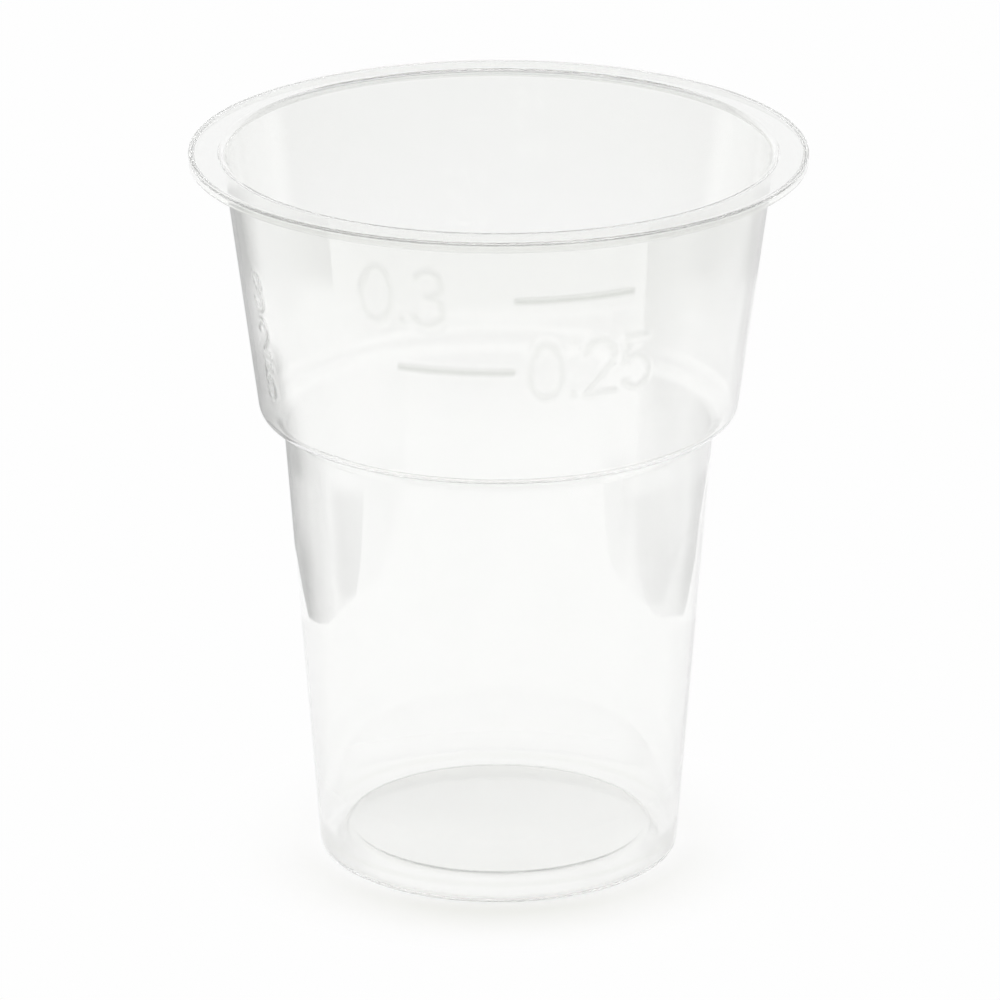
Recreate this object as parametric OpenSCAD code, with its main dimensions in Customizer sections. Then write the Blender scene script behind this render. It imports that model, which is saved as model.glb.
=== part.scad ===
// Clear disposable drinking cup: one thin moulded wall, turned about the Z axis.
// Millimetres, +Z up, origin on the table at the centre of the foot.

/* [Overall] */
// Height from the table to the top of the rim
cup_h = 108.5; // [90:0.5:130]
// Thickness of the side wall
wall_t = 0.42; // [0.3:0.02:0.6]

/* [Rim] */
// Outside diameter of the rim
rim_d = 91; // [88:0.5:110]
// Thickness of the flat flange
flange_t = 0.6; // [0.5:0.05:1]
// Height of the turned-down edge of the flange
lip_h = 1.6; // [1.2:0.1:3]
// Thickness of the turned-down edge
lip_t = 0.65; // [0.5:0.05:1]
// Rounding of the flange into the mouth
mouth_round = 0.9; // [0.3:0.1:1.5]
// Rounding along the outer edge of the rim
rim_round = 0.3; // [0.1:0.05:0.32]

/* [Collar] */
// Height of the wide collar, from its shoulder to the top of the rim
collar_h = 39.9; // [32:0.1:50]
// Outside diameter of the collar where it meets the rim
collar_top_d = 81.2; // [76:0.2:84]
// Outside diameter of the collar at its shoulder
collar_foot_d = 70.6; // [66:0.2:75]
// Drop of the shoulder from the collar to the body
shoulder_drop = 0.8; // [0.2:0.1:3]
// Outside rounding at the foot of the collar
shoulder_round = 2; // [0.6:0.1:2.5]
// Inside corner where the shoulder runs into the body
shoulder_blend = 2.2; // [0.5:0.1:3]

/* [Body] */
// Outside diameter of the body under the shoulder
body_top_d = 63.8; // [58:0.2:65]
// Outside diameter of the body at the table
foot_d = 53.4; // [50:0.2:58]
// Rounding where the body meets the table
foot_round = 1.2; // [0.7:0.1:2]

/* [Base] */
// Thickness of the raised floor
floor_t = 0.45; // [0.3:0.05:1]
// Rise of the floor's underside above the table
floor_rise = 3; // [1.5:0.1:5]
// Width of the ring that the cup stands on, corner to corner
foot_ring_w = 2.6; // [2.2:0.1:4.5]
// Run of the slanted step between the ring and the raised floor
floor_step_w = 1.7; // [1:0.1:3]
// Rounding on both sides of the step up to the floor
floor_round = 0.9; // [0.5:0.1:1.4]

/* [Fill lines] */
// Sets of fill lines around the collar
mark_sets = 1; // [1:1:4]
// Turn of the first set from the front of the cup, in degrees
mark_turn = 3; // [-45:1:45]
// Width of a raised fill line
line_w = 1.2; // [0.8:0.05:1.4]
// How far a fill line stands out of the wall
line_proud = 0.3; // [0.1:0.02:0.4]
// Depth of the upper fill line below the rim
upper_drop = 10.9; // [6:0.1:14]
// Start of the upper fill line from the middle of its set, in degrees
upper_from = 1; // [-30:1:30]
// Angle that the upper fill line covers
upper_sweep = 25; // [10:1:40]
// Depth of the lower fill line below the rim
lower_drop = 22.1; // [18:0.1:28]
// Start of the lower fill line from the middle of its set, in degrees
lower_from = -25; // [-45:1:0]
// Angle that the lower fill line covers
lower_sweep = 25; // [10:1:40]

/* [Hidden] */
$fn = 48;
ARC_STEPS = 6;
TURN_STEPS = 180;
// Smallest rounding of an inside corner, and the share of a side that one rounding may take
MIN_ROUND = 0.1;
SIDE_SHARE = 0.49;
CLEAR_PLASTIC = [0.94, 0.95, 0.95, 0.45];

rim_r = rim_d / 2;
shoulder_z = cup_h - collar_h;
foot_r = foot_d / 2;
ring_inner_r = foot_r - foot_ring_w;
collar_foot_r = collar_foot_d / 2;
collar_top_r = collar_top_d / 2;

// Outside corners of the wall from the axis to the rim, as radius, height and rounding
WALL_OUT = [
    [0, floor_rise, 0],
    [ring_inner_r - floor_step_w, floor_rise, floor_round],
    [ring_inner_r, 0, floor_round],
    [foot_r, 0, foot_round],
    [body_top_d / 2, shoulder_z - shoulder_drop, shoulder_blend],
    [collar_foot_r, shoulder_z, shoulder_round],
    [collar_top_r, cup_h, mouth_round]
];
// Thickness of the wall between each corner and the next
WALL_T = [floor_t, wall_t, wall_t, wall_t, wall_t, wall_t];
// Number of the corner at the mouth, which the rim takes the place of
MOUTH = len(WALL_OUT) - 1;
// Fill lines of one set, each as its depth below the rim, its start and its sweep
FILL_LINES = [
    [upper_drop, upper_from, upper_sweep],
    [lower_drop, lower_from, lower_sweep]
];

function unit(v) = v / norm(v);
function left_of(v) = [-v.y, v.x];
function place(corner) = [corner.x, corner.y];
function run(i) = unit(place(WALL_OUT[i + 1]) - place(WALL_OUT[i]));

// Point at distance t1 from one line through q and t2 from the other, both to the left
function inset(q, run1, t1, run2, t2) =
    let (n1 = left_of(run1), n2 = left_of(run2))
    q + [t1 * n2.y - t2 * n1.y, t2 * n1.x - t1 * n2.x] / cross(n1, n2);

// Rounding of the inside of corner i: tighter where the wall turns in, wider where it turns out
function inner_round(i) =
    max(MIN_ROUND, WALL_OUT[i].z - wall_t * sign(cross(run(i - 1), run(i))));

// Inside corner that matches outside corner i
function inner_corner(i) =
    let (q = inset(place(WALL_OUT[i]), run(i - 1), WALL_T[i - 1], run(i), WALL_T[i]))
    [q.x, q.y, inner_round(i)];

// Radius of the collar's wall at height z, inset by t
function collar_r(z, t) =
    let (slope = run(MOUTH - 1))
    collar_foot_r + (z - shoulder_z) * slope.x / slope.y - t / slope.y;

RIM_OUT = [
    [collar_r(cup_h - flange_t, 0), cup_h - flange_t, mouth_round],
    [rim_r - lip_t, cup_h - flange_t, rim_round],
    [rim_r - lip_t, cup_h - lip_h, rim_round],
    [rim_r, cup_h - lip_h, rim_round],
    [rim_r, cup_h, rim_round],
    [collar_r(cup_h, wall_t), cup_h, mouth_round]
];

SECTION = concat(
    [for (i = [0:MOUTH - 1]) WALL_OUT[i]],
    RIM_OUT,
    [for (i = [MOUTH - 1:-1:1]) inner_corner(i)],
    [[0, floor_rise + floor_t, 0]]
);

// Arc that rounds corner q between p and s, kept within half of each side
function rounded(p, q, s) =
    let (a = unit(place(p) - place(q)),
         b = unit(place(s) - place(q)),
         half = acos(a * b) / 2,
         room = min(norm(place(p) - place(q)), norm(place(s) - place(q))) * SIDE_SHARE,
         reach = min(q.z / tan(half), room),
         r = reach * tan(half),
         centre = place(q) + unit(a + b) * r / sin(half),
         start = place(q) + a * reach - centre,
         from = atan2(start.y, start.x),
         turn = (180 - 2 * half) * sign(cross(b, a)))
    [for (k = [0:ARC_STEPS])
        let (t = from + turn * k / ARC_STEPS)
        centre + r * [cos(t), sin(t)]];

module wall_section() {
    last = len(SECTION) - 1;
    polygon([
        for (i = [0:last])
            each SECTION[i].z > 0
                ? rounded(SECTION[i - 1], SECTION[i], SECTION[i < last ? i + 1 : 0])
                : [place(SECTION[i])]
    ]);
}

// One round bead along a fill line, with its centre at radius r and height z
module line_bead(r, z, from, sweep) {
    rotate([0, 0, from - 90])
        rotate_extrude(angle = sweep)
            translate([r, z]) circle(d = line_w);
}

// A fill line is a bead on one face of the wall; t is how far that face lies inside the outer one
module fill_lines(t) {
    for (set = [0:mark_sets - 1], line = FILL_LINES) {
        z = cup_h - line[0];
        sink = line_w / 2 - line_proud;
        line_bead(collar_r(z, t) - sink, z, mark_turn + set * 360 / mark_sets + line[1], line[2]);
    }
}

module cup() {
    color(CLEAR_PLASTIC)
        difference() {
            union() {
                rotate_extrude($fn = TURN_STEPS) wall_section();
                fill_lines(0);
            }
            fill_lines(wall_t);
        }
}

cup();
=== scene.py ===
"""The looks of a clear disposable cup.

It makes the cup's drawn plastic wall, a white studio table and the photograph's long-lens camera.
"""

import math

import bpy
import numpy as np
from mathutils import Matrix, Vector


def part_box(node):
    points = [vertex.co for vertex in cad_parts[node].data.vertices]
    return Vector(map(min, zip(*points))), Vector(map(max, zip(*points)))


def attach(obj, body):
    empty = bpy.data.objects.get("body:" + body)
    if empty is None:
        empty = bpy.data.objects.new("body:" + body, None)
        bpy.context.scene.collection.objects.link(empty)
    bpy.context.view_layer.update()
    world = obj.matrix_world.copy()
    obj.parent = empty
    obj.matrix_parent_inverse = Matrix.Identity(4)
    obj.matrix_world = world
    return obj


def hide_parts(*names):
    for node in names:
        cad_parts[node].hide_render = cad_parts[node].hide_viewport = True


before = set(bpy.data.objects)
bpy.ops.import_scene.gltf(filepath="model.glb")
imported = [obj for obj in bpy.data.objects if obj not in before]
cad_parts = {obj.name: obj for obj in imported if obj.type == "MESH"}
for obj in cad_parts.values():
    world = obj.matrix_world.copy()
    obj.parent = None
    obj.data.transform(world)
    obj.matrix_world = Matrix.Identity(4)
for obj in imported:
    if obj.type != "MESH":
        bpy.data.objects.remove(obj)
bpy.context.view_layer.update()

MM = 0.001
CUP_LOW, CUP_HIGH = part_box("cup")
RIM_R = (CUP_HIGH[0] - CUP_LOW[0]) / 2
CUP_H = CUP_HIGH[2] - CUP_LOW[2]

# The wall's form, as the solid has it
WALL_T = 0.42 * MM
FLOOR_T = 0.45 * MM
FLANGE_T = 0.6 * MM
LIP_H = 1.6 * MM
LIP_T = 0.65 * MM
RIM_ROUND = 0.3 * MM
MOUTH_ROUND = 0.9 * MM
COLLAR_H = 39.9 * MM
COLLAR_TOP_R = 40.6 * MM
COLLAR_FOOT_R = 35.3 * MM
SHOULDER_DROP = 0.8 * MM
SHOULDER_ROUND = 2.0 * MM
SHOULDER_BLEND = 2.2 * MM
BODY_TOP_R = 31.9 * MM
FOOT_R = 26.7 * MM
FOOT_ROUND = 1.2 * MM
RING_INNER_R = 24.1 * MM
FLOOR_R = 22.4 * MM
FLOOR_RISE = 3.0 * MM
FLOOR_ROUND = 0.9 * MM
SHOULDER_Z = CUP_H - COLLAR_H

# Fill lines and figures, by angle from the front of the cup and depth below the rim
MARK_SETS = 1
MARK_TURN = 3
UPPER_DROP = 10.9 * MM
LOWER_DROP = 22.1 * MM
LINE_SWEEP = 25
UPPER_LINE_FROM = 1
LOWER_LINE_FROM = -25
UPPER_FIGURE_FROM = -33
LOWER_FIGURE_FROM = 4
FIGURE_H = 8.2 * MM
FIGURE_HALF_W = 0.5 * MM
FIGURE_PROUD = 0.22 * MM
LINE_HALF_W = 0.32 * MM
LINE_PROUD = 0.3 * MM
# Half width and strength of the marks' matt finish and painted shade: a darker tint on the marks that
# makes them show as dark lines
FROST_AND_SHADE_HALF_W = 0.42 * MM
LINE_FROST_AND_SHADE = 1.0
FIGURE_FROST_AND_SHADE = 0.3
# The marks on the inner face: how much wider they are, and the share of the height that they keep
INNER_SOFTENING = 1.5
INNER_SHARE = 0.55
# Distance from the middle of a mark to its end, in half widths, with a little to spare
MARK_REACH = 2.2
# Room in degrees before the upper figures and after the start of the lower ones
ROOM_BEFORE = 3
ROOM_AFTER = 38

# A column of small mould figures at one side
MOULD_TURN = -66
MOULD_FIGURES = "325"
MOULD_TOP_Z = 91.5 * MM
MOULD_PITCH = 7.0 * MM
MOULD_H = 5.2 * MM
MOULD_HALF_W = 0.45 * MM
MOULD_PROUD = 0.12 * MM
# Strength of the mould figures' matt finish and painted shade
MOULD_FROST_AND_SHADE = 0.25
MOULD_SPAN = 10

# Spacing of the mesh: steps of a rounding, fine spacing on the marks, and coarse spacing elsewhere
ARC_STEPS = 8
RELIEF_PITCH = 0.28 * MM
RELIEF_ANGLE = 0.36
COARSE_EVERY = 6
PLAIN_ANGLE = 3.0
# Share of a side that one rounding may take
SIDE_SHARE = 0.49

# The photograph's camera: a long lens, a little above the cup
CAMERA_ELEVATION = 19.4
CAMERA_DISTANCE = 1.336
CAMERA_LENS = 324.0
CAMERA_SENSOR = 36.0
AIM_Z = 53.9 * MM
AIM_X = 0.2 * MM


def unit(v):
    """v at length 1."""
    return v / np.linalg.norm(v)


def left_of(v):
    """v turned a quarter turn to the left."""
    return np.array([-v[1], v[0]])


def inset(q, run1, t1, run2, t2):
    """The point at distance t1 from one line through q and t2 from the other, both to the left."""
    n1, n2 = left_of(run1), left_of(run2)
    return q + (t1 * left_of(n2) * -1 + t2 * left_of(n1)) / (n1[0] * n2[1] - n1[1] * n2[0])


def wall_corners():
    """The section's corners, each with its rounding.

    They run in order from the axis: out under the floor, up, over the rim and down inside.
    """
    out = [
        ((0, FLOOR_RISE), 0, FLOOR_T),
        ((FLOOR_R, FLOOR_RISE), FLOOR_ROUND, WALL_T),
        ((RING_INNER_R, 0), FLOOR_ROUND, WALL_T),
        ((FOOT_R, 0), FOOT_ROUND, WALL_T),
        ((BODY_TOP_R, SHOULDER_Z - SHOULDER_DROP), SHOULDER_BLEND, WALL_T),
        ((COLLAR_FOOT_R, SHOULDER_Z), SHOULDER_ROUND, WALL_T),
        ((COLLAR_TOP_R, CUP_H), MOUTH_ROUND, WALL_T),
    ]
    points = [np.array(p, float) for p, _, _ in out]
    runs = [unit(b - a) for a, b in zip(points[:-1], points[1:])]
    under = CUP_H - FLANGE_T
    rim = [
        ((collar_r(under, 0), under), MOUTH_ROUND),
        ((RIM_R - LIP_T, under), RIM_ROUND),
        ((RIM_R - LIP_T, CUP_H - LIP_H), RIM_ROUND),
        ((RIM_R, CUP_H - LIP_H), RIM_ROUND),
        ((RIM_R, CUP_H), RIM_ROUND),
        ((collar_r(CUP_H, WALL_T), CUP_H), MOUTH_ROUND),
    ]
    inner = []
    for i in range(len(out) - 2, 0, -1):
        turn = np.sign(runs[i - 1][0] * runs[i][1] - runs[i - 1][1] * runs[i][0])
        q = inset(points[i], runs[i - 1], out[i - 1][2], runs[i], out[i][2])
        inner.append((q, out[i][1] - WALL_T * turn))
    corners = [(p, r) for p, r, _ in out[:-1]] + rim + inner + [((0, FLOOR_RISE + FLOOR_T), 0)]
    return [(np.array(p, float), r) for p, r in corners]


def collar_r(z, t):
    """Radius of the collar's wall at height z, with t of its thickness taken off."""
    slope = unit(np.array([COLLAR_TOP_R - COLLAR_FOOT_R, COLLAR_H]))
    return COLLAR_FOOT_R + (z - SHOULDER_Z) * slope[0] / slope[1] - t / slope[1]


def rounded(p, q, s, radius):
    """Points and outward normals along the arc that rounds corner q between p and s."""
    a, b = unit(p - q), unit(s - q)
    half = math.acos(float(np.clip(a @ b, -1, 1))) / 2
    room = min(np.linalg.norm(p - q), np.linalg.norm(s - q)) * SIDE_SHARE
    reach = min(radius / math.tan(half), room)
    r = reach * math.tan(half)
    centre = q + unit(a + b) * r / math.sin(half)
    start = q + a * reach - centre
    side = np.sign(b[0] * a[1] - b[1] * a[0])
    turn = (math.pi - 2 * half) * side
    first = math.atan2(start[1], start[0])
    arc = []
    for k in range(ARC_STEPS + 1):
        t = first + turn * k / ARC_STEPS
        ray = np.array([math.cos(t), math.sin(t)])
        arc.append((centre + r * ray, ray * side))
    return arc


def wall_rows():
    """Rows of the turned mesh in order along the section, as (radius, height, normal, relief).

    Relief is true for the rows that hold the marks.
    """
    corners = wall_corners()
    last = len(corners) - 1
    path = []
    for i, (q, radius) in enumerate(corners):
        if radius > 0:
            path += rounded(corners[i - 1][0], q, corners[(i + 1) % len(corners)][0], radius)
        else:
            path.append((q, np.array([0.0, 1.0 if i == last else -1.0])))
    lowest_mould_z = MOULD_TOP_Z - MOULD_PITCH * (len(MOULD_FIGURES) - 1)
    low = lowest_mould_z - MOULD_H / 2 - 3 * MOULD_HALF_W
    high = CUP_H - UPPER_DROP + FIGURE_H / 2 + 3 * FIGURE_HALF_W
    rows = []
    for (p, n), (q, m) in zip(path[:-1], path[1:]):
        rows.append((p[0], p[1], n, False))
        steep = abs(q[1] - p[1]) > COLLAR_H / 2 and min(p[1], q[1]) > SHOULDER_Z - SHOULDER_DROP
        if steep:
            steps = round((high - low) / RELIEF_PITCH)
            heights = [low + (high - low) * k / steps for k in range(steps + 1)]
            if q[1] < p[1]:
                heights.reverse()
            for z in heights:
                f = (z - p[1]) / (q[1] - p[1])
                rows.append((p[0] + (q[0] - p[0]) * f, z, n, True))
    p, n = path[-1]
    rows.append((p[0], p[1], n, False))
    return rows


def mark_zones():
    """Stretches of the collar that hold marks, as angles from the front, in order."""
    before = UPPER_FIGURE_FROM - ROOM_BEFORE
    after = LOWER_FIGURE_FROM + ROOM_AFTER
    middles = [MARK_TURN + 360 / MARK_SETS * k for k in range(MARK_SETS)]
    zones = [(m + before, m + after) for m in middles]
    mould = MOULD_TURN % 360
    return sorted(zones + [(mould - MOULD_SPAN, mould + MOULD_SPAN)])


def columns():
    """Angles of the mesh's columns in degrees from the front, and which of them the plain rows keep."""
    zones = mark_zones()
    angles, plain = [], []
    for (low, high), (next_low, _) in zip(zones, zones[1:] + [(zones[0][0] + 360, None)]):
        steps = COARSE_EVERY * round((high - low) / RELIEF_ANGLE / COARSE_EVERY)
        for j in range(steps):
            angles.append(low + (high - low) * j / steps)
            plain.append(j % COARSE_EVERY == 0)
        rest = round((next_low - high) / PLAIN_ANGLE)
        for j in range(rest):
            angles.append(high + (next_low - high) * j / rest)
            plain.append(True)
    return np.array(angles), np.array(plain)


def arc_stroke(cx, cy, rx, ry, start, end, steps=28):
    """Points along an elliptical arc, with angles in degrees."""
    t = np.radians(np.linspace(start, end, steps))
    return np.stack([cx + rx * np.cos(t), cy + ry * np.sin(t)], 1)


def line_stroke(x0, y0, x1, y1, steps=14):
    """Points along a straight stroke."""
    return np.linspace((x0, y0), (x1, y1), steps)


# Strokes of each figure, in units of the figure's height, and its width
FIGURES = {
    "0": (0.56, [arc_stroke(0.28, 0.5, 0.28, 0.5, 0, 360, 56)]),
    ".": (0.1, [line_stroke(0.05, 0.02, 0.05, 0.05, 3)]),
    "2": (0.56, [arc_stroke(0.28, 0.71, 0.27, 0.29, 165, -38), line_stroke(0.49, 0.53, 0.02, 0),
                 line_stroke(0.02, 0, 0.56, 0)]),
    "3": (0.54, [arc_stroke(0.26, 0.76, 0.24, 0.24, 150, -90),
                 arc_stroke(0.26, 0.26, 0.28, 0.26, 90, -150)]),
    "5": (0.56, [line_stroke(0.5, 1, 0.1, 1), line_stroke(0.1, 1, 0.05, 0.53),
                 arc_stroke(0.27, 0.31, 0.28, 0.31, 138, -145)]),
}
FIGURE_GAP = 0.16


def figure_points(word, from_angle, z, height):
    """Points along the strokes of figures on the collar, as (arc length from the middle, height)."""
    x = math.radians(from_angle) * collar_r(z, 0)
    points = []
    for letter in word:
        width, strokes = FIGURES[letter]
        points += [s * height + (x, z - height / 2) for s in strokes]
        x += (width + FIGURE_GAP) * height
    return np.concatenate(points)


def ridge(distance, half_width, proud):
    """Height of a soft ridge at a distance from its middle."""
    t = np.clip(distance / (2 * half_width), 0, 1)
    return proud * (1 - t * t * (3 - 2 * t))


def mark_set():
    """The four marks of one set: (points along it, half width, height out of the wall, strength of matt
    finish and painted shade).
    """
    marks = []
    for drop, start in ((UPPER_DROP, UPPER_LINE_FROM), (LOWER_DROP, LOWER_LINE_FROM)):
        z = CUP_H - drop
        u = np.radians(np.linspace(start, start + LINE_SWEEP, 60)) * collar_r(z, 0)
        marks.append((np.stack([u, np.full(60, z)], 1), LINE_HALF_W, LINE_PROUD, LINE_FROST_AND_SHADE))
    figures = (("0.3", UPPER_FIGURE_FROM, UPPER_DROP), ("0.25", LOWER_FIGURE_FROM, LOWER_DROP))
    for word, start, drop in figures:
        points = figure_points(word, start, CUP_H - drop, FIGURE_H)
        marks.append((points, FIGURE_HALF_W, FIGURE_PROUD, FIGURE_FROST_AND_SHADE))
    return marks


def mould_marks():
    """The small figures down one side."""
    marks = []
    for k, letter in enumerate(MOULD_FIGURES):
        z = MOULD_TOP_Z - MOULD_PITCH * k
        half = math.degrees(FIGURES[letter][0] * MOULD_H / 2 / collar_r(z, 0))
        marks.append((figure_points(letter, -half, z, MOULD_H), MOULD_HALF_W, MOULD_PROUD, MOULD_FROST_AND_SHADE))
    return marks


def all_marks():
    """Every mark on the collar, as (angle of its middle, points, half width, height, strength of matt
    finish and painted shade).
    """
    turns = [MARK_TURN + 360 / MARK_SETS * k for k in range(MARK_SETS)]
    marks = [(turn, *mark) for turn in turns for mark in mark_set()]
    return marks + [(MOULD_TURN, *mark) for mark in mould_marks()]


def relief(angles, z, radius, inner):
    """How far the wall stands out at each angle, at one height and radius, and how strong the marks' matt
    finish and painted shade are there.

    The marks are softer on the inner face.
    """
    height = np.zeros(len(angles))
    frost_and_shade = np.zeros(len(angles))
    for turn, points, half_width, proud, frost_and_shade_level in MARKS:
        half_width = half_width * INNER_SOFTENING if inner else half_width
        proud = proud * INNER_SHARE if inner else proud
        close = points[np.abs(points[:, 1] - z) < MARK_REACH * half_width]
        if len(close):
            u = np.radians((angles - turn + 180) % 360 - 180) * radius
            d = np.sqrt((u[:, None] - close[:, 0]) ** 2 + (z - close[:, 1]) ** 2).min(1)
            height = np.maximum(height, ridge(d, half_width, proud))
            frost_and_shade = np.maximum(frost_and_shade, ridge(d, FROST_AND_SHADE_HALF_W, frost_and_shade_level))
    return height, frost_and_shade


MARKS = all_marks()


def cup_mesh():
    """The whole wall as one closed turned mesh, with the marks pressed through it."""
    angles, plain = columns()
    coarse = np.flatnonzero(plain)
    rows = wall_rows()
    directions = np.stack([np.sin(np.radians(angles)), -np.cos(np.radians(angles))], 1)
    verts, normals, frost_and_shade_values, rings = [], [], [], []
    for r, z, n, fine in rows:
        if r < 1e-9:
            rings.append((np.array([len(verts)]), None))
            verts.append((0.0, 0.0, z))
            normals.append((0.0, 0.0, n[1]))
            frost_and_shade_values.append(0.0)
            continue
        keep = np.arange(len(angles)) if fine else coarse
        plain_wall = (np.zeros(len(keep)), np.zeros(len(keep)))
        out, frost_and_shade = relief(angles[keep], z, collar_r(z, 0), n[0] < 0) if fine else plain_wall
        first = len(verts)
        frost_and_shade_values += frost_and_shade.tolist()
        for (dx, dy), lift in zip(directions[keep], out):
            verts.append((dx * (r + lift), dy * (r + lift), z))
            normals.append((dx * n[0], dy * n[0], n[1]))
        rings.append((np.arange(first, first + len(keep)), fine))
    faces = []
    for (a, fine_a), (b, fine_b) in zip(rings[:-1], rings[1:]):
        faces += strip(a, fine_a, b, fine_b, coarse, len(angles))
    return verts, normals, frost_and_shade_values, faces, rings


def strip(a, fine_a, b, fine_b, coarse, count):
    """Faces between two neighbouring rings.

    Either ring may be a single point, or have only the plain columns.
    """
    if len(a) == 1 or len(b) == 1:
        ring, tip = (b, a[0]) if len(a) == 1 else (a, b[0])
        pairs = zip(ring, np.roll(ring, -1))
        return [(tip, q, p) if len(a) == 1 else (p, q, tip) for p, q in pairs]
    if fine_a == fine_b:
        return [(p, q, s, r) for p, q, r, s in zip(a, np.roll(a, -1), b, np.roll(b, -1))]
    faces = []
    for k, first in enumerate(coarse):
        step = (coarse[(k + 1) % len(coarse)] - first) % count
        fine = [(first + j) % count for j in range(step + 1)]
        if fine_b:
            faces.append((a[k], a[(k + 1) % len(coarse)], *[b[j] for j in reversed(fine)]))
        else:
            faces.append((*[a[j] for j in fine], b[(k + 1) % len(coarse)], b[k]))
    return faces


def make_cup(material):
    """The cup's fine mesh, in place of the plain solid."""
    verts, normals, frost_and_shade_values, faces, rings = cup_mesh()
    mesh = bpy.data.meshes.new("cup_wall")
    mesh.from_pydata(verts, [], [[int(i) for i in f] for f in faces])
    mesh.polygons.foreach_set("use_smooth", [True] * len(mesh.polygons))
    mesh.materials.append(material)
    mesh.update()
    # Per point strength of the marks' matt finish and painted shade, for the material
    mesh.attributes.new("frost_and_shade", "FLOAT", "POINT").data.foreach_set("value", frost_and_shade_values)
    shaded = np.array(normals)
    measured = np.empty(len(verts) * 3)
    mesh.vertex_normals.foreach_get("vector", measured)
    measured = measured.reshape(-1, 3)
    for ring, fine in rings:
        if fine:
            shaded[ring] = measured[ring]
    mesh.normals_split_custom_set_from_vertices(shaded.tolist())
    cup = bpy.data.objects.new("cup_wall", mesh)
    bpy.context.scene.collection.objects.link(cup)
    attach(cup, "root")
    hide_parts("cup")
    return cup


def node(tree, kind, **values):
    """A new shader node with its properties set."""
    made = tree.nodes.new(kind)
    for key, value in values.items():
        setattr(made, key, value)
    return made


def new_material(name):
    """An empty node material and its output."""
    material = bpy.data.materials.new(name)
    material.use_nodes = True
    material.node_tree.nodes.clear()
    return material, node(material.node_tree, "ShaderNodeOutputMaterial")


def set_stops(colour_ramp, stops):
    """Gives a colour ramp these stops, as (place, colour)."""
    while len(colour_ramp.elements) < len(stops):
        colour_ramp.elements.new(0.5)
    for element, (place, colour) in zip(colour_ramp.elements, stops):
        element.position = place
        element.color = (*colour, 1)


def add(tree, left, right):
    """A node that adds two sockets and keeps the sum within 1."""
    made = node(tree, "ShaderNodeMath", operation="ADD", use_clamp=True)
    tree.links.new(left, made.inputs[0])
    tree.links.new(right, made.inputs[1])
    return made.outputs["Value"]


def subtract(tree, left, right):
    """A node that takes one socket from another and keeps the rest above 0."""
    made = node(tree, "ShaderNodeMath", operation="SUBTRACT", use_clamp=True)
    tree.links.new(left, made.inputs[0])
    tree.links.new(right, made.inputs[1])
    return made.outputs["Value"]


def multiply(tree, left, right):
    """A node that multiplies two sockets."""
    made = node(tree, "ShaderNodeMath", operation="MULTIPLY")
    tree.links.new(left, made.inputs[0])
    tree.links.new(right, made.inputs[1])
    return made.outputs["Value"]


def scale(tree, socket, low, high):
    """A node that maps the range low to high of a socket to 0 to 1, smoothly."""
    made = node(tree, "ShaderNodeMapRange", interpolation_type="SMOOTHSTEP")
    made.inputs["From Min"].default_value = low
    made.inputs["From Max"].default_value = high
    tree.links.new(socket, made.inputs["Value"])
    return made.outputs["Result"]


def seen(tree):
    """1 for rays that show the surroundings, and 0 for lighting.

    Those rays come straight from the camera, off a gloss or through the plastic.
    """
    path = node(tree, "ShaderNodeLightPath")
    return add(tree, add(tree, path.outputs["Is Camera Ray"], path.outputs["Is Glossy Ray"]),
               path.outputs["Is Transmission Ray"])


def reflected(tree):
    """1 for rays that a gloss has turned, and 0 for the rest and for lighting.

    They count as turned after they have gone through a wall as well.
    """
    path = node(tree, "ShaderNodeLightPath")
    turned = node(tree, "ShaderNodeMath", operation="MINIMUM")
    turned.inputs[1].default_value = 1.0
    tree.links.new(path.outputs["Glossy Depth"], turned.inputs[0])
    return subtract(tree, turned.outputs["Value"], path.outputs["Is Diffuse Ray"])


def mixed(tree, kind, fac, first, second):
    """A shader or colour mix of two sockets."""
    if kind == "shader":
        made = node(tree, "ShaderNodeMixShader")
        a, b, out = made.inputs[1], made.inputs[2], made.outputs["Shader"]
        share = made.inputs["Fac"]
    else:
        made = node(tree, "ShaderNodeMix", data_type="RGBA")
        share, a, b, out = made.inputs[0], made.inputs[6], made.inputs[7], made.outputs[2]
    tree.links.new(fac, share)
    tree.links.new(first, a)
    tree.links.new(second, b)
    return out


def glow(tree, kind, colour, strength=1.0):
    """An emission or background of one colour, or of a socket's colour."""
    made = node(tree, kind)
    made.inputs["Strength"].default_value = strength
    if hasattr(colour, "links"):
        tree.links.new(colour, made.inputs["Color"])
    else:
        made.inputs["Color"].default_value = (*colour, 1)
    return made.outputs[0]


def ramp(tree, socket, stops):
    """A colour ramp with these stops, fed by a socket."""
    made = node(tree, "ShaderNodeValToRGB")
    set_stops(made.color_ramp, stops)
    tree.links.new(socket, made.inputs["Fac"])
    return made.outputs["Color"]


def greys(pairs):
    """Colour stops from pairs of place and grey level."""
    return [(place, (level, level, level)) for place, level in pairs]


# The plastic's tint by share of the cup's height: a little duller in the floor, the collar and the rim
TINTS = (
    (0.0, (0.999, 1.0, 0.996)),
    (0.0262, (0.999, 1.0, 0.996)),
    (0.0274, (0.972, 0.976, 0.963)),
    (0.0322, (0.972, 0.976, 0.963)),
    (0.0336, (0.999, 1.0, 0.996)),
    (0.62, (0.998, 1.0, 0.994)),
    (0.8, (0.988, 0.99, 0.982)),
    (0.92, (0.966, 0.97, 0.957)),
    (0.985, (0.965, 0.969, 0.956)),
    (0.992, (0.95, 0.954, 0.942)),
    (1.0, (0.95, 0.954, 0.942)),
)
# Painted shade on the marks, as a share of the tint, and their matt finish, as roughness
MARK_PAINTED_SHADE = (0.8, 0.81, 0.79)
FROST_ROUGHNESS = 0.14
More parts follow.
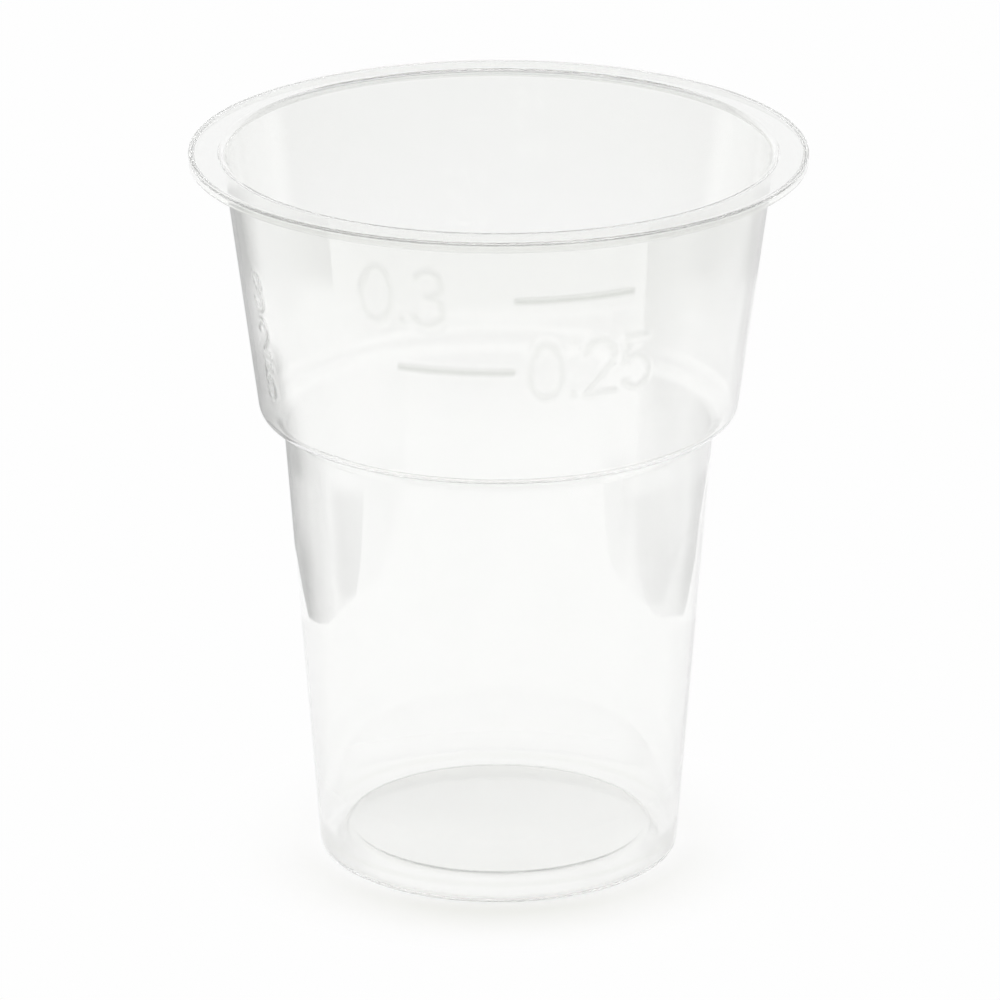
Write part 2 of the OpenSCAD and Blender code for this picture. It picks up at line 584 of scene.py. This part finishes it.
# The floor is a little dull, up to this share of the cup's height and then fading over the next
FLOOR_DULL_TO = 0.045
FLOOR_DULL_FADE = 0.01
FLOOR_DULLNESS = 0.12
# Haze of the wall, as two ends of its roughness, and the scale of both patterns, drawn out along the wall
ROUGH_LOW = 0.015
ROUGH_HIGH = 0.06
DRAWN_OUT = (1.0, 1.0, 0.18)
HAZE_SCALE = 90.0
DRAW_MARK_SCALE = 220.0
DRAW_MARK_STRENGTH = 0.12
DRAW_MARK_DEPTH = 0.05 * MM
PLASTIC_IOR = 1.49
TRANSMISSION = 0.95
COAT_ROUGHNESS = 0.03
# Light that gets through a wall into the shadow
SHADOW_TINT = (0.9, 0.905, 0.89)


def noise(tree, place, pattern_scale, detail):
    """A noise pattern at a place."""
    made = node(tree, "ShaderNodeTexNoise")
    made.inputs["Scale"].default_value = pattern_scale
    made.inputs["Detail"].default_value = detail
    tree.links.new(place, made.inputs["Vector"])
    return made.outputs["Fac"]


def plastic_colour(tree, level, frost_and_shade):
    """The wall's tint by height, darker on the marks: painted shade that makes them show as dark lines.
    """
    marks_shaded = node(tree, "ShaderNodeMix", data_type="RGBA", blend_type="MULTIPLY")
    marks_shaded.inputs[7].default_value = (*MARK_PAINTED_SHADE, 1)
    tree.links.new(frost_and_shade, marks_shaded.inputs[0])
    tree.links.new(ramp(tree, level, TINTS), marks_shaded.inputs[6])
    return marks_shaded.outputs[2]


def plastic_roughness(tree, level, frost_and_shade, haze):
    """Roughness from the wall's haze, with more on the marks, which are matt, and on the floor."""
    rough = node(tree, "ShaderNodeMapRange")
    rough.inputs["To Min"].default_value = ROUGH_LOW
    rough.inputs["To Max"].default_value = ROUGH_HIGH
    tree.links.new(haze, rough.inputs["Value"])
    dull = node(tree, "ShaderNodeMath", operation="MULTIPLY_ADD")
    dull.inputs[1].default_value = FROST_ROUGHNESS
    tree.links.new(frost_and_shade, dull.inputs[0])
    tree.links.new(rough.outputs["Result"], dull.inputs[2])
    low = node(tree, "ShaderNodeMapRange", interpolation_type="SMOOTHSTEP")
    low.inputs["From Min"].default_value = FLOOR_DULL_TO
    low.inputs["From Max"].default_value = FLOOR_DULL_TO + FLOOR_DULL_FADE
    low.inputs["To Min"].default_value = FLOOR_DULLNESS
    low.inputs["To Max"].default_value = 0.0
    tree.links.new(level, low.inputs["Value"])
    return add(tree, dull.outputs["Value"], low.outputs["Result"])


def clear_plastic():
    """Clear drawn plastic: glass-like, a little hazy, with faint draw marks along the wall."""
    material, output = new_material("clear_plastic")
    tree = material.node_tree
    place = node(tree, "ShaderNodeTexCoord").outputs["Object"]
    stretch = node(tree, "ShaderNodeMapping")
    stretch.inputs["Scale"].default_value = DRAWN_OUT
    tree.links.new(place, stretch.inputs["Vector"])
    drawn = stretch.outputs["Vector"]
    bump = node(tree, "ShaderNodeBump")
    bump.inputs["Strength"].default_value = DRAW_MARK_STRENGTH
    bump.inputs["Distance"].default_value = DRAW_MARK_DEPTH
    tree.links.new(noise(tree, drawn, DRAW_MARK_SCALE, 2.0), bump.inputs["Height"])
    height = node(tree, "ShaderNodeSeparateXYZ")
    tree.links.new(place, height.inputs["Vector"])
    by_height = node(tree, "ShaderNodeMapRange")
    by_height.inputs["From Max"].default_value = CUP_H
    tree.links.new(height.outputs["Z"], by_height.inputs["Value"])
    level = by_height.outputs["Result"]
    # The marks' matt finish and the painted shade on them
    frost_and_shade = node(tree, "ShaderNodeAttribute", attribute_name="frost_and_shade").outputs["Fac"]
    roughness = plastic_roughness(tree, level, frost_and_shade, noise(tree, drawn, HAZE_SCALE, 3.0))
    plastic = node(tree, "ShaderNodeBsdfPrincipled")
    plastic.inputs["Transmission Weight"].default_value = TRANSMISSION
    plastic.inputs["IOR"].default_value = PLASTIC_IOR
    plastic.inputs["Coat Weight"].default_value = 1.0
    plastic.inputs["Coat IOR"].default_value = PLASTIC_IOR
    plastic.inputs["Coat Roughness"].default_value = COAT_ROUGHNESS
    tree.links.new(plastic_colour(tree, level, frost_and_shade), plastic.inputs["Base Color"])
    tree.links.new(roughness, plastic.inputs["Roughness"])
    tree.links.new(bump.outputs["Normal"], plastic.inputs["Normal"])
    through = node(tree, "ShaderNodeBsdfTransparent")
    through.inputs["Color"].default_value = (*SHADOW_TINT, 1)
    shadow_ray = node(tree, "ShaderNodeLightPath").outputs["Is Shadow Ray"]
    final = mixed(tree, "shader", shadow_ray, plastic.outputs["BSDF"], through.outputs["BSDF"])
    tree.links.new(final, output.inputs["Surface"])
    return material


PLAIN_WHITE = (1.0, 1.0, 1.0)
# Level of white surroundings to the camera, and of the soft light that they give
WHITE = 0.991
LIGHT_LEVEL = 0.85
TABLE_REACH = 6.0
# The table's lit colour, a little yellow, which also tints the painted shadow around the foot
TABLE_COLOUR = (0.95, 0.955, 0.905)
# Painted shadow: how much of the table shows its lit surface, which is darker than the white,
# by distance from the axis in metres, under the cup and around it, up to the span; the cup's own cast
# shadow shows in it too
TABLE_SPAN = 0.1
PAINTED_SHADOW_UNDER = ((0.0, 0.05), (0.012, 0.05), (0.0145, 0.02), (0.024, 0.0), (0.1, 0.0))
PAINTED_SHADOW_AROUND = ((0.0, 0.0), (0.0238, 0.0), (0.0262, 0.3), (0.0275, 0.5), (0.0296, 0.7), (0.0314, 0.55),
          (0.035, 0.36), (0.0385, 0.16), (0.042, 0.04), (0.045, 0.0))
# Share of the painted shadow around the cup by how far a place lies to the front:
# the first at the sides and behind, the last straight in front
PAINTED_SHADOW_FRONT = ((0.0, 0.16), (0.57, 0.47), (0.82, 0.7), (1.0, 1.0))
# What counts as the back: a direction with this share of +Y, in full from the second
BACK_FROM = 0.2
BACK_TO = 0.4
# Radius of the bent card behind the cup. To reflections, the table inside it is a little grey
CARD_R = 0.104
NEAR_BACK = 0.93
# The far front of the table, from these distances on, is dim to reflections
DIM = 0.5
TABLE_FRONT_FROM = 0.26
TABLE_FRONT_TO = 0.36


def share_of(tree, socket, whole):
    """A node that divides a socket by a number and keeps the result within 1."""
    made = node(tree, "ShaderNodeMath", operation="DIVIDE", use_clamp=True)
    made.inputs[1].default_value = whole
    tree.links.new(socket, made.inputs[0])
    return made.outputs["Value"]


def table_top():
    """A white table that shows white, with a painted soft shadow around the cup's foot where its darker
    lit surface shows, with the cup's own faint cast shadow in it.
    """
    material, output = new_material("table")
    material.cycles.emission_sampling = "NONE"
    tree = material.node_tree
    place = node(tree, "ShaderNodeTexCoord").outputs["Object"]
    length = node(tree, "ShaderNodeVectorMath", operation="LENGTH")
    tree.links.new(place, length.inputs[0])
    distance = length.outputs["Value"]
    direction = node(tree, "ShaderNodeVectorMath", operation="NORMALIZE")
    tree.links.new(place, direction.inputs[0])
    parts = node(tree, "ShaderNodeSeparateXYZ")
    tree.links.new(direction.outputs["Vector"], parts.inputs["Vector"])
    away = share_of(tree, distance, TABLE_SPAN)
    # Painted shadow: the share of the table that shows its darker lit surface in place of white
    under = ramp(tree, away, greys([(r / TABLE_SPAN, level) for r, level in PAINTED_SHADOW_UNDER]))
    around = ramp(tree, away, greys([(r / TABLE_SPAN, level) for r, level in PAINTED_SHADOW_AROUND]))
    frontward = ramp(tree, share_of(tree, parts.outputs["Y"], -1.0), greys(PAINTED_SHADOW_FRONT))
    shaded = add(tree, under, multiply(tree, around, frontward))
    back = scale(tree, parts.outputs["Y"], BACK_FROM, BACK_TO)
    far = subtract(tree, scale(tree, distance, TABLE_FRONT_FROM, TABLE_FRONT_TO), back)
    dim = multiply(tree, far, reflected(tree))
    white = glow(tree, "ShaderNodeEmission", PLAIN_WHITE, WHITE)
    dark = glow(tree, "ShaderNodeEmission", PLAIN_WHITE, DIM)
    shown = mixed(tree, "shader", dim, white, dark)
    inside = subtract(tree, back, scale(tree, distance, CARD_R - 2 * MM, CARD_R))
    grey = glow(tree, "ShaderNodeEmission", PLAIN_WHITE, NEAR_BACK)
    shown = mixed(tree, "shader", multiply(tree, inside, reflected(tree)), shown, grey)
    lit = node(tree, "ShaderNodeBsdfDiffuse")
    lit.inputs["Color"].default_value = (*TABLE_COLOUR, 1)
    held = subtract(tree, seen(tree), shaded)
    final = mixed(tree, "shader", held, lit.outputs["BSDF"], shown)
    tree.links.new(final, output.inputs["Surface"])
    return material


def make_table():
    """A wide flat table under the cup."""
    mesh = bpy.data.meshes.new("table")
    corners = [(x * TABLE_REACH, y * TABLE_REACH, 0) for x, y in ((-1, -1), (1, -1), (1, 1), (-1, 1))]
    mesh.from_pydata(corners, [], [(0, 1, 2, 3)])
    mesh.materials.append(table_top())
    table = bpy.data.objects.new("table", mesh)
    bpy.context.scene.collection.objects.link(table)


# A low dark card bent round the sides and back of the cup, which only reflections show.
# Azimuths run from the front over the left side: 90 is left, 180 behind and 270 right
CARD_H = 0.072
CARD_FROM = 65
CARD_TO = 304
CARD_COLUMNS = 120
# The card's lower edge as (azimuth, height, full height) in millimetres:
# there is nothing up to the first height, and the whole card from the second
CARD_EDGE = (
    (65, 60, 68), (67, 36, 40), (69, 24, 27), (71, 18.5, 21), (74, 12, 14), (79, 6.3, 8), (89, 3.5, 6.5),
    (97, 1.6, 4), (105, 0.2, 1.6), (114, 0, 0.4), (122, 0, 0.4), (131, 0, 1), (134, 1.6, 2.8),
    (138.6, 4, 5.2), (143.5, 7, 8.2), (150, 10, 11.2), (180, 13, 14.5), (200, 26, 28), (212, 26, 28),
    (217, 23, 25), (224, 17, 19), (226, 10, 12), (231, 6, 7.5), (236, 1.8, 3), (240, 1, 2), (262, 1.8, 3),
    (270, 2.6, 4.4), (276.5, 4.5, 7), (284, 7, 17), (297, 13, 40), (302, 40, 60), (304, 60, 72),
)
# Levels along the card by azimuth. Each row holds from its second height, and blends in from its first
CARD_LEVELS = (
    (0, 0, (
        (65, 0.35), (71, 0.55), (76, 0.47), (85, 0.42), (89.5, 0.56), (94.5, 0.82), (99.5, 0.64),
        (105, 0.54), (111, 0.48), (116, 0.4), (121, 0.32), (127, 0.26), (132, 0.34), (140, 0.5),
        (148, 0.57), (180, 0.58), (200, 0.74), (226, 0.66), (234, 0.58), (240, 0.62), (246, 0.68),
        (253, 0.72), (262, 0.74), (276, 0.7), (284, 0.6), (304, 0.35))),
    (8, 19, (
        (65, 0.35), (71, 0.55), (76, 0.47), (85, 0.42), (89.5, 0.58), (94.5, 0.9), (99.5, 0.7),
        (105, 0.56), (112, 0.58), (118.5, 0.54), (130, 0.56), (180, 0.58), (200, 0.74), (236, 0.76),
        (246, 0.95), (262, 0.85), (284, 0.6), (304, 0.35))),
    (23, 27, (
        (65, 0.98), (91, 0.98), (97, 0.8), (104, 0.6), (114, 0.4), (125, 0.3), (140, 0.5), (163, 0.58),
        (200, 0.88), (236, 0.88), (248, 0.98), (276, 0.98), (288, 0.94), (304, 0.9))),
    (32, 37, (
        (65, 0.98), (98, 0.98), (103, 0.8), (108, 0.4), (114, 0.3), (121, 0.42), (140, 0.5), (160, 0.58),
        (205, 0.88), (225, 0.84), (232, 0.86), (238, 0.95), (275, 0.98), (283, 0.92), (290, 0.8),
        (304, 0.76))),
    (42, 47, (
        (65, 0.98), (115, 0.98), (122, 0.7), (130, 0.55), (160, 0.6), (168, 0.93), (212, 0.93),
        (222, 0.8), (231, 0.8), (238, 0.95), (275, 0.98), (290, 0.6), (304, 0.35))),
    (54, 60, (
        (65, 0.35), (75, 0.5), (89, 0.85), (97, 0.93), (108, 0.93), (118, 0.6), (126, 0.42), (140, 0.55),
        (180, 0.58), (200, 0.74), (236, 0.74), (246, 0.93), (262, 0.85), (284, 0.6), (304, 0.35))),
)


def by_azimuth(pairs):
    """Colour stops along the card from pairs of azimuth and level."""
    return greys([((turn - CARD_FROM) / (CARD_TO - CARD_FROM), level) for turn, level in pairs])


def card_colour():
    """The card's shade, and nothing at all below its edge and for rays that aren't reflections."""
    material, output = new_material("card")
    material.cycles.emission_sampling = "NONE"
    tree = material.node_tree
    parts = node(tree, "ShaderNodeSeparateXYZ")
    tree.links.new(node(tree, "ShaderNodeUVMap").outputs["UV"], parts.inputs["Vector"])
    along, up = parts.outputs["X"], parts.outputs["Y"]
    shade = ramp(tree, along, by_azimuth(CARD_LEVELS[0][2]))
    for low, high, levels in CARD_LEVELS[1:]:
        blend = scale(tree, up, low * MM / CARD_H, high * MM / CARD_H)
        shade = mixed(tree, "colour", blend, shade, ramp(tree, along, by_azimuth(levels)))
    cover = node(tree, "ShaderNodeMapRange", interpolation_type="SMOOTHSTEP")
    tree.links.new(up, cover.inputs["Value"])
    for place, end in ((1, "From Min"), (2, "From Max")):
        edge = [(stop[0], stop[place] * MM / CARD_H) for stop in CARD_EDGE]
        tree.links.new(ramp(tree, along, by_azimuth(edge)), cover.inputs[end])
    paint = glow(tree, "ShaderNodeEmission", shade)
    nothing = node(tree, "ShaderNodeBsdfTransparent").outputs["BSDF"]
    shown = multiply(tree, cover.outputs["Result"], reflected(tree))
    tree.links.new(mixed(tree, "shader", shown, nothing, paint), output.inputs["Surface"])
    return material


def make_card():
    """A bent card from one side of the cup, round its back, to the other, which gives no light."""
    verts, places = [], []
    for k in range(CARD_COLUMNS + 1):
        share = k / CARD_COLUMNS
        turn = math.radians(CARD_FROM + (CARD_TO - CARD_FROM) * share)
        for lift in (0, 1):
            verts.append((-CARD_R * math.sin(turn), -CARD_R * math.cos(turn), CARD_H * lift))
            places.append((share, lift))
    faces = [(2 * k, 2 * k + 2, 2 * k + 3, 2 * k + 1) for k in range(CARD_COLUMNS)]
    mesh = bpy.data.meshes.new("card")
    mesh.from_pydata(verts, [], faces)
    layer = mesh.uv_layers.new(name="place")
    for loop in mesh.loops:
        layer.data[loop.index].uv = places[loop.vertex_index]
    mesh.materials.append(card_colour())
    card = bpy.data.objects.new("card", mesh)
    bpy.context.scene.collection.objects.link(card)
    card.visible_camera = False
    card.visible_diffuse = False
    card.visible_volume_scatter = False
    card.visible_shadow = False


# Levels of the studio in reflections by the sine of the elevation, to the front and to the back
FRONT_LEVELS = ((0.0, 0.95), (0.55, 0.95), (0.85, 0.9), (1.0, 0.5))
BACK_LEVELS = ((0.0, WHITE), (0.22, WHITE), (0.32, 0.9), (0.42, 0.9), (0.6, 0.7), (1.0, 0.5))
# Level of the surroundings straight through the plastic, white up to well above the horizon
THROUGH_LEVELS = ((0.0, WHITE), (0.4, WHITE), (0.6, 0.35), (1.0, 0.35))


def make_world():
    """The surroundings.

    They are white to the camera and through the plastic, a partly dim studio to reflections,
    and an even soft light.
    """
    world = bpy.data.worlds.new("studio")
    bpy.context.scene.world = world
    world.use_nodes = True
    tree = world.node_tree
    tree.nodes.clear()
    parts = node(tree, "ShaderNodeSeparateXYZ")
    tree.links.new(node(tree, "ShaderNodeTexCoord").outputs["Generated"], parts.inputs["Vector"])
    back = scale(tree, parts.outputs["Y"], BACK_FROM, BACK_TO)
    studio = mixed(tree, "colour", back, ramp(tree, parts.outputs["Z"], greys(FRONT_LEVELS)),
                   ramp(tree, parts.outputs["Z"], greys(BACK_LEVELS)))
    light = glow(tree, "ShaderNodeBackground", PLAIN_WHITE, LIGHT_LEVEL)
    white = glow(tree, "ShaderNodeBackground", PLAIN_WHITE, WHITE)
    through = glow(tree, "ShaderNodeBackground", ramp(tree, parts.outputs["Z"], greys(THROUGH_LEVELS)))
    shown = mixed(tree, "shader", seen(tree), light, through)
    final = mixed(tree, "shader", reflected(tree), shown, glow(tree, "ShaderNodeBackground", studio))
    camera_ray = node(tree, "ShaderNodeLightPath").outputs["Is Camera Ray"]
    final = mixed(tree, "shader", camera_ray, final, white)
    tree.links.new(final, node(tree, "ShaderNodeOutputWorld").inputs["Surface"])


def make_light(name, position, size, power):
    """A square soft light aimed at the middle of the cup."""
    data = bpy.data.lights.new(name, "AREA")
    data.shape = "SQUARE"
    data.size = size
    data.energy = power
    light = bpy.data.objects.new(name, data)
    light.location = position
    light.rotation_euler = (Vector((0, 0, AIM_Z)) - Vector(position)).to_track_quat("-Z", "Y").to_euler()
    light.visible_glossy = False
    light.visible_transmission = False
    bpy.context.scene.collection.objects.link(light)


def make_camera():
    """The photograph's camera."""
    data = bpy.data.cameras.new("camera")
    data.lens = CAMERA_LENS
    data.sensor_width = CAMERA_SENSOR
    data.clip_end = 50.0
    camera = bpy.data.objects.new("camera", data)
    tilt = math.radians(CAMERA_ELEVATION)
    back, up = CAMERA_DISTANCE * math.cos(tilt), CAMERA_DISTANCE * math.sin(tilt)
    camera.location = (AIM_X, -back, AIM_Z + up)
    camera.rotation_euler = (math.radians(90 - CAMERA_ELEVATION), 0, 0)
    bpy.context.scene.collection.objects.link(camera)
    bpy.context.scene.camera = camera


def set_up_render():
    """The plain view transform, and enough bounces for light through several walls."""
    scene = bpy.context.scene
    scene.view_settings.view_transform = "Standard"
    scene.cycles.max_bounces = 48
    scene.cycles.glossy_bounces = 40
    scene.cycles.transmission_bounces = 40
    scene.cycles.transparent_max_bounces = 32


make_camera()
set_up_render()
make_world()
make_table()
make_card()
make_light("key", (-0.7, -0.5, 1.1), 0.7, 4.0)
make_cup(clear_plastic())
